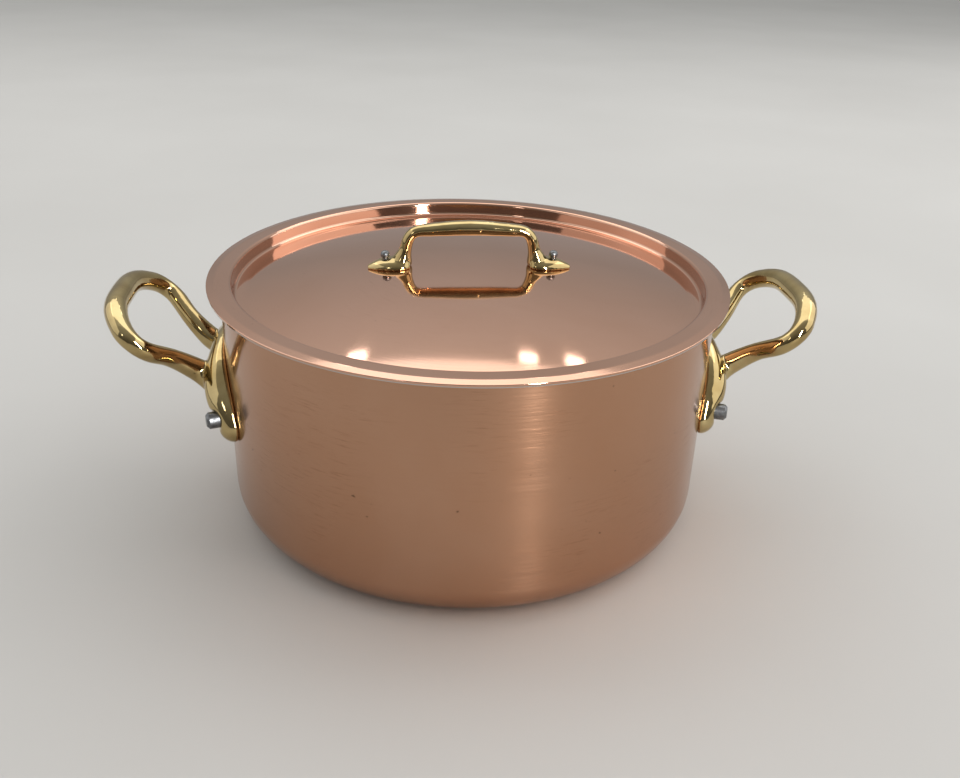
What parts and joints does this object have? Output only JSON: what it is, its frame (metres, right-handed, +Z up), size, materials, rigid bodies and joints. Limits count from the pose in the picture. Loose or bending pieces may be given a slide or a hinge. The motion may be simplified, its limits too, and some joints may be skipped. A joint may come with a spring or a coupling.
{
  "type": "lidded stewpot",
  "caption": "Straight-sided copper stewpot with upswept cast brass loop handles and a lift-off, low-domed lid that carries a raised brass bar handle.",
  "frame": {"origin": "middle of the flat bottom, where the pot stands", "axes": "+Z up, +X along the line through both loop handles and along the lid handle, +Y to the back"},
  "size_m": [0.352, 0.2559, 0.1484],
  "materials": {
    "copper": null,
    "steel_lining": "satin stainless steel",
    "cast_brass": "cast and polished brass",
    "rivet_steel": "dull dark grey steel"
  },
  "bodies": {
    "pan": {"pan_body": "copper", "pan_lining": "steel_lining", "left_handle": "cast_brass", "right_handle": "cast_brass", "left_front_rivet": "rivet_steel", "left_rear_rivet": "rivet_steel", "right_front_rivet": "rivet_steel", "right_rear_rivet": "rivet_steel"},
    "lid": {"lid_shell": "copper", "lid_lining": "steel_lining", "lid_handle": "cast_brass", "left_lid_rivet": "rivet_steel", "right_lid_rivet": "rivet_steel"}
  },
  "joints": [
    {"name": "lid_lift", "type": "slide", "parent": "pan", "child": "lid", "axis": [0, 0, 1], "range_m": [0, 0.15]}
  ]
}
